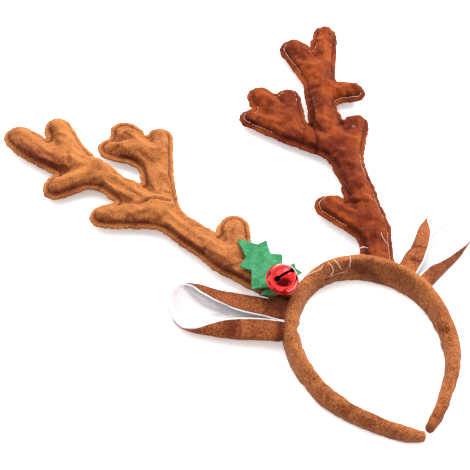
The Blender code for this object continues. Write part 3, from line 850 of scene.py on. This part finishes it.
# Soft grooves in a sheet, and the waves that both layers of an ear share; gives back a mask of painted shadow
# in the grooves
def creaseSheet(piece, creases, seed):
    points = readPoints(piece.data)
    normals = readNormals(piece.data)
    total = np.zeros(len(points))
    lift = waves(points, ears["swellSize"], seed, 2) * ears["swell"]
    for start, end, width, deep in creases:
        groove, _ = foldShape(points[:, :2], fromHoop(*start).xy, fromHoop(*end).xy, width)
        lift -= groove * deep * ears["grooveDepth"]
        total = np.maximum(total, groove * min(1.0, deep))
    writePoints(piece.data, points + normals * lift[:, None])
    return total


def thicken(piece, thickness, rim=0.3 * mm):
    solid = piece.modifiers.new("thickness", "SOLIDIFY")
    solid.thickness = thickness
    solid.offset = 0.0
    solid.use_rim = True
    soft = piece.modifiers.new("softEdge", "BEVEL")
    soft.width = rim
    soft.segments = 2
    soft.limit_method = "ANGLE"
    soft.angle_limit = math.radians(50)
    applyModifiers(piece)


def makeLiningMaterial():
    material, tree, shader = newMaterial("liningCloth", 0.85, Sheen_Weight=0.15, Specular_IOR_Level=0.15)
    place = addNode(tree, "ShaderNodeTexCoord").outputs["Object"]
    weave = noiseAt(tree, place, 0.0009, 2.0, 0.6)
    mottled = noiseAt(tree, place, 0.012, 2.0, 0.5)
    patches = spread(tree, mottled, 0.35, 0.65)
    colour = mixColours(tree, patches, ears["liningDeep"], ears["liningLight"])
    # Painted shade in the ear's hollow, then painted shadow in the creases
    colour = mixColours(tree, readMask(tree, "hollow"), colour, ears["liningHollowShade"])
    shade = doMath(tree, "MULTIPLY", readMask(tree, "creaseShadow"), ears["creaseShade"])
    colour = mixColours(tree, shade, colour, ears["liningCreaseShade"])
    tree.links.new(colour, shader.inputs["Base Color"])
    addBump(tree, shader, weave, 0.0003)
    return material


def makeEar(side, settings, liningMaterial):
    places = earPlaces(settings, ears["velvetDepth"], ears["hemDegrees"], 0)
    velvet, _ = sheetFromGrid(f"ear{side}Velvet", places)
    # Painted shadow in the velvet's grooves
    creaseShadow = creaseSheet(velvet, settings["creases"], settings["seed"])
    points = readPoints(velvet.data)
    storeMask(velvet.data, "creaseShadow", creaseShadow)
    # Nap patches and painted shade strokes, plus the side towards the key light painted paler
    storeMask(velvet.data, "napAndPaintedLight", paint(points, settings["napAndPaintedLight"]) + paintedSideLight(velvet.data, "ear"))
    thicken(velvet, ears["velvetThick"])
    velvet.data.materials.append(makeVelvet(f"ear{side}Velvet", velvets["ear"]))
    places = earPlaces(settings, ears["liningDepth"], 0, ears["pipingDegrees"])
    lining, inner = sheetFromGrid(f"ear{side}Lining", places)
    # Painted shade: darker away from the flap edges, and along the shade strokes
    shade = inner * settings["hollow"] + paint(readPoints(lining.data), settings["liningShade"])
    storeMask(lining.data, "hollow", np.clip(shade, 0, 1))
    storeMask(lining.data, "creaseShadow", creaseSheet(lining, settings["liningCreases"], settings["seed"]))
    thicken(lining, ears["liningThick"])
    lining.data.materials.append(liningMaterial)
    for piece, layer, slot in ((velvet, "velvet", "ear_velvet"), (lining, "lining", "ear_lining")):
        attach(piece, "root")
        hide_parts(settings[f"{layer}Node"])
    print("ear", side, len(velvet.data.polygons) + len(lining.data.polygons), "faces")


# The felt holly leaves

holly = {
    "thick": 1.5 * mm,
    "spacing": 1.3,
    "sheetMiddle": 0.8,
    "slopeFrom": 60,
    "curlSize": 22.0 * mm,
    "curl": 0.9 * mm,
    "raggedSize": 2.4 * mm,
    "ragged": 0.16 * mm,
    "deep": (0.012, 0.120, 0.042, 1),
    "light": (0.042, 0.215, 0.088, 1),
    "shaded": (0.02, 0.12, 0.06, 1),
    "shadeStrength": 0.35,
    "leaves": {
        "holly_leaf_large": {
            "name": "hollyLeafLarge", "seed": 31, "underside": 25.3, "fall": 0.055,
            "flatSize": (0.055, 0.040),
            "corners": [(-66.5, 110.6), (-53.3, 99.3), (-44.6, 101), (-47.1, 87.6), (-38.6, 83.4), (-43, 73),
                        (-47.5, 62), (-55, 53), (-65.2, 57.8), (-76.6, 59.8), (-68.9, 77.2), (-76, 84.1),
                        (-67.4, 91.2)],
            "shade": [((-61.3, 82), (-60, 70), 5, 1.0)],
        },
        "holly_leaf_small": {
            "name": "hollyLeafSmall", "seed": 37, "underside": 22.8, "fall": 0.008,
            "flatSize": (0.042, 0.025),
            "corners": [(-71.4, 53.9), (-60.5, 60.5), (-55, 69), (-44, 70), (-36, 72.6), (-32, 73.4),
                        (-33.4, 67.6), (-30.4, 62.4), (-37, 60.2), (-44, 55), (-50.5, 49.6), (-59.8, 49.8)],
            "shade": [],
        },
    },
}


def makeFeltMaterial():
    material, tree, shader = newMaterial("hollyFelt", 0.95, Sheen_Weight=0.25, Sheen_Roughness=0.5,
                                         Sheen_Tint=(0.75, 1.0, 0.85, 1.0), Specular_IOR_Level=0.1)
    place = addNode(tree, "ShaderNodeTexCoord").outputs["Object"]
    wide = noiseAt(tree, place, 0.006, 3.0, 0.6)
    fine = noiseAt(tree, place, 0.0013, 3.0, 0.7)
    level = doMath(tree, "ADD", doMath(tree, "MULTIPLY", wide, 0.5), doMath(tree, "MULTIPLY", fine, 0.5))
    fibrous = spread(tree, level, 0.40, 0.60)
    colour = mixColours(tree, fibrous, holly["deep"], holly["light"])
    shade = doMath(tree, "MULTIPLY", readMask(tree, "creaseShadow"), holly["shadeStrength"])
    colour = mixColours(tree, shade, colour, holly["shaded"])
    tree.links.new(colour, shader.inputs["Base Color"])
    addBump(tree, shader, fine, 0.0007)
    return material


def makeLeaf(node, settings, material):
    corners = [Vector(corner) for corner in settings["corners"]]
    bm = bmesh.new()
    bm.faces.new([bm.verts.new(fromHoop(*corner)) for corner in corners])
    for axis in (0, 1):  # cuts across and along the leaf give it inner points
        low, high = min(c[axis] for c in corners), max(c[axis] for c in corners)
        normal = Vector((1 - axis, axis, 0))
        for cutAt in np.arange(low + holly["spacing"] / 2, high, holly["spacing"]):
            place = fromHoop(cutAt, cutAt)
            bmesh.ops.bisect_plane(bm, geom=bm.verts[:] + bm.edges[:] + bm.faces[:], dist=1e-7,
                                   plane_co=place, plane_no=normal)
    bmesh.ops.triangulate(bm, faces=bm.faces)
    bmesh.ops.recalc_face_normals(bm, faces=bm.faces)
    piece = pieceFromBmesh(settings["name"], bm)
    points = readPoints(piece.data)
    upSlope = points[:, 1] - fromHoop(0, holly["slopeFrom"]).y
    points[:, 2] = (settings["underside"] + holly["sheetMiddle"]) * mm - upSlope * settings["fall"]
    points[:, 2] += waves(points, holly["curlSize"], settings["seed"], 2) * holly["curl"]
    ragged = [waves(points, holly["raggedSize"], settings["seed"] + k, 2) for k in (1, 2)]
    points[:, :2] += np.stack(ragged, axis=1) * holly["ragged"]
    writePoints(piece.data, points)
    storeMask(piece.data, "creaseShadow", paint(points, settings["shade"]))
    thicken(piece, holly["thick"], 0.2 * mm)
    piece.data.materials.append(material)
    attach(piece, "root")
    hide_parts(node)
    print("leaf", settings["name"], len(piece.data.polygons), "faces")


# The red jingle bell

bell = {
    "place": (-55.1, 52.8, 39.9),
    "axis": (-0.026, -0.199, 0.980),
    "slotAlong": (0.978, 0.198, 0.066),
    "radius": 12.2,
    "wall": 0.9,
    "rimOut": 0.9,
    "rimHalf": 0.95,
    "slotHalf": 7.2,
    "slotWidth": 2.1,
    "holeRadius": 2.2,
    "cutMiddle": 10.0,
    "cutDepth": 14.0,
    "arcSteps": 28,
    "segments": 96,
    "redDeep": (0.50, 0.009, 0.011, 1),
    "redLight": (0.57, 0.018, 0.018, 1),
    "insideColour": (0.03, 0.006, 0.008, 1.0),
}


# A turned shell from a profile of (radius, height) that starts and ends on its axis
def spinShell(profile, segments):
    bm = bmesh.new()
    verts = [bm.verts.new((radius * mm, 0, height * mm)) for radius, height in profile]
    edges = [bm.edges.new(pair) for pair in zip(verts, verts[1:])]
    bmesh.ops.spin(bm, geom=verts + edges, cent=(0, 0, 0), axis=(0, 0, 1), angle=2 * math.pi, steps=segments,
                   use_merge=True)
    bmesh.ops.remove_doubles(bm, verts=bm.verts, dist=1e-6)
    bmesh.ops.recalc_face_normals(bm, faces=bm.faces)
    return bm


def bellProfile():
    radius, half, out = bell["radius"], bell["rimHalf"], bell["rimOut"]
    steps = bell["arcSteps"]
    outer = []
    for step in range(steps + 1):
        turn = -math.pi / 2 + math.pi * step / steps
        r, z = radius * math.cos(turn), radius * math.sin(turn)
        if abs(z) > half * 1.5:
            outer.append((r if 0 < step < steps else 0.0, z))
        elif step == steps // 2:
            edge = math.sqrt(radius ** 2 - (half * 1.45) ** 2)
            upper = [(radius + out * 1.02, 0.12), (radius + out, half * 0.6), (radius + out * 0.75, half),
                     (edge + 0.15, half * 1.05), (edge, half * 1.45)]
            outer += [(r, -z) for r, z in reversed(upper)] + [(radius + out * 0.86, 0.0)] + upper
    return outer


def makeBellMaterials():
    material, tree, shader = newMaterial("bellRed", 0.13, Metallic=1.0, Coat_Weight=0.25, Coat_Roughness=0.06)
    place = addNode(tree, "ShaderNodeTexCoord").outputs["Object"]
    smudge = noiseAt(tree, place, 0.004, 3.0, 0.6)
    colour = mixColours(tree, spread(tree, smudge, 0.3, 0.7), bell["redDeep"], bell["redLight"])
    tree.links.new(colour, shader.inputs["Base Color"])
    tree.links.new(spread(tree, smudge, 0.3, 0.7, 0.10, 0.2), shader.inputs["Roughness"])
    inside, _, shader = newMaterial("bellInside", 0.7, Metallic=0.4)
    shader.inputs["Base Color"].default_value = bell["insideColour"]
    return material, inside


def makeBell():
    piece = pieceFromBmesh("bellShell", spinShell(bellProfile(), bell["segments"]))
    for material in makeBellMaterials():
        piece.data.materials.append(material)
    half, width, hole = bell["slotHalf"] * mm, bell["slotWidth"] * mm, bell["holeRadius"] * mm
    height, depth = bell["cutMiddle"] * mm, bell["cutDepth"] * mm
    cutter = bmesh.new()
    bmesh.ops.create_cube(cutter, size=1.0, matrix=Matrix.Translation((0, 0, height))
                          @ Matrix.Diagonal((half * 2, width, depth, 1)))
    tools = [pieceFromBmesh("bellSlotCut", cutter, smooth=False)]
    wall = piece.modifiers.new("wall", "SOLIDIFY")
    wall.thickness = bell["wall"] * mm
    wall.offset = -1.0
    wall.material_offset = 1
    for side in (-1, 1):
        cutter = bmesh.new()
        bmesh.ops.create_cone(cutter, cap_ends=True, segments=28, radius1=hole, radius2=hole, depth=depth,
                              matrix=Matrix.Translation((side * half, 0, height)))
        tools.append(pieceFromBmesh("bellHoleCut", cutter, smooth=False))
    for tool in tools:
        cut = piece.modifiers.new("cut", "BOOLEAN")
        cut.operation = "DIFFERENCE"
        cut.object = tool
    applyModifiers(piece)
    for tool in tools:
        bpy.data.objects.remove(tool)
    axis = Vector(bell["axis"]).normalized()
    along = Vector(bell["slotAlong"])
    along = (along - axis * along.dot(axis)).normalized()
    turn = Matrix((along, axis.cross(along), axis)).transposed().to_4x4()
    piece.data.transform(Matrix.Translation(fromHoop(*bell["place"])) @ turn)
    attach(piece, "root")
    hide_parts("bell")
    print("bell", len(piece.data.polygons), "faces")


# Loose sewing thread and lint

looseThread = {
    "radius": 0.18 * mm,
    "lintRadius": 0.12 * mm,
    "runs": {
        "white": [[(-35.1, 55.1, 29.4), (-24.9, 56.3, 30), (-17.8, 57.2, 30), (-14, 60, 30.2)],
                  [(-8.7, 61, 30.3), (-7.6, 55, 30), (-7.9, 52.8, 29), (-10.7, 50.7, 27)],
                  [(-3.1, 62.2, 30.2), (-2.2, 58, 30.4), (-1.6, 54.4, 29.8), (-0.9, 52.1, 28.6)],
                  [(11, 60.4, 30.2), (9.8, 57.5, 30.2), (8.5, 55, 29.9), (6.5, 51.6, 28)],
                  [(19.1, 65.1, 24), (23, 67, 24.8), (27.8, 68.4, 24.2), (33.2, 67.9, 22)],
                  [(20.1, 66.1, 23.4), (25, 68.4, 24), (29.8, 69.6, 23.2), (32.2, 69.2, 20)],
                  [(53.5, 66.2, 18), (50.8, 70, 21), (50.4, 74, 22), (52.2, 79.4, 20)]],
        "pale": [[(-18.5, 54.0, 19), (-11.2, 54.0, 19.6), (-5.2, 54.1, 20), (0.8, 53.9, 20.2),
                  (6.5, 53, 20.4)],
                 [(-73.9, 51.8, 22.2), (-73.2, 50.2, 22.4)]],
    },
    "lint": [((-56.7, 128.5, 12.5), 5), ((85.2, 193.3, 18.5), 4), ((87.9, 188.7, 17.5), 2)],
}


def makeLooseThread():
    for colour, runs in looseThread["runs"].items():
        places = [[fromHoop(*corner) for corner in run] for run in runs]
        piece = threadPiece(f"looseThread{colour.capitalize()}", places, looseThread["radius"])
        piece.data.materials.append(threads[colour])
        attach(piece, "root")
    rng = random.Random(5)
    fibres = []
    for middle, count in looseThread["lint"]:
        for _ in range(count):
            start = fromHoop(*middle) + Vector([rng.uniform(-1, 1) for _ in range(3)]) * mm
            bend = start + Vector([rng.uniform(-1, 1) for _ in range(3)]) * mm
            tip = bend + Vector((rng.uniform(-1.2, 1.2), rng.uniform(-1.2, 1.2), 0.2)) * mm
            fibres.append([start, bend, tip])
    lint = threadPiece("lint", fibres, looseThread["lintRadius"])
    lint.data.materials.append(threads["white"])
    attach(lint, "root")


# Floor, lights and camera

def addLamp(name, settings):
    light = bpy.data.lights.new(name, "AREA")
    light.shape = "DISK"
    light.size = settings["size"]
    light.energy = settings["watts"]
    lamp = bpy.data.objects.new(name, light)
    bpy.context.scene.collection.objects.link(lamp)
    lamp.location = hoop + Vector(settings["place"])
    aim = hoop + Vector((-0.03, 0.1, 0)) - lamp.location
    lamp.rotation_euler = aim.to_track_quat("-Z", "Y").to_euler()


def makeWorld():
    world = bpy.data.worlds.new("softSky")
    world.use_nodes = True
    tree = world.node_tree
    background = tree.nodes["Background"]
    ray = addNode(tree, "ShaderNodeTexCoord").outputs["Generated"]
    towards = addNode(tree, "ShaderNodeVectorMath", {0: ray, 1: studio["darkTowards"]},
                      operation="DOT_PRODUCT").outputs["Value"]
    dark = spread(tree, towards, studio["darkFrom"], studio["darkTo"])
    colour = mixColours(tree, dark, (*studio["worldLight"], 1.0), (*studio["worldDark"], 1.0))
    tree.links.new(colour, background.inputs["Color"])
    background.inputs["Strength"].default_value = studio["worldStrength"]
    bpy.context.scene.world = world


def makeStudio():
    bm = bmesh.new()
    bmesh.ops.create_grid(bm, x_segments=1, y_segments=1, size=studio["floorSize"] / 2)
    floor = pieceFromBmesh("floor", bm, smooth=False)
    material, _, shader = newMaterial("floorPaper", 0.95, Specular_IOR_Level=0.1)
    shader.inputs["Base Color"].default_value = (*studio["floorColour"], 1.0)
    shader.inputs["Emission Color"].default_value = (1.0, 1.0, 1.0, 1.0)
    shader.inputs["Emission Strength"].default_value = studio["floorGlow"]
    floor.data.materials.append(material)
    makeWorld()
    bpy.context.scene.view_settings.view_transform = "Standard"
    for name, settings in studio["lamps"].items():
        addLamp(name, settings)
    data = bpy.data.cameras.new("camera")
    data.lens = studio["lensMm"]
    data.sensor_width = studio["sensorMm"]
    camera = bpy.data.objects.new("camera", data)
    bpy.context.scene.collection.objects.link(camera)
    back = -Vector(studio["forward"])
    turn = Matrix((Vector(studio["right"]), Vector(studio["up"]), back)).transposed().to_4x4()
    camera.matrix_world = Matrix.Translation(hoop + Vector(studio["cameraFromHoop"])) @ turn
    bpy.context.scene.camera = camera


makeStudio()
print("studio done")
for nodeName, antlerSettings in antlers["pieces"].items():
    makeAntler(nodeName, antlerSettings)
makeBand()
earLining = makeLiningMaterial()
for side, earSettings in ears["pieces"].items():
    makeEar(side, earSettings, earLining)
felt = makeFeltMaterial()
for nodeName, leafSettings in holly["leaves"].items():
    makeLeaf(nodeName, leafSettings, felt)
makeBell()
makeLooseThread()
print("pieces done")
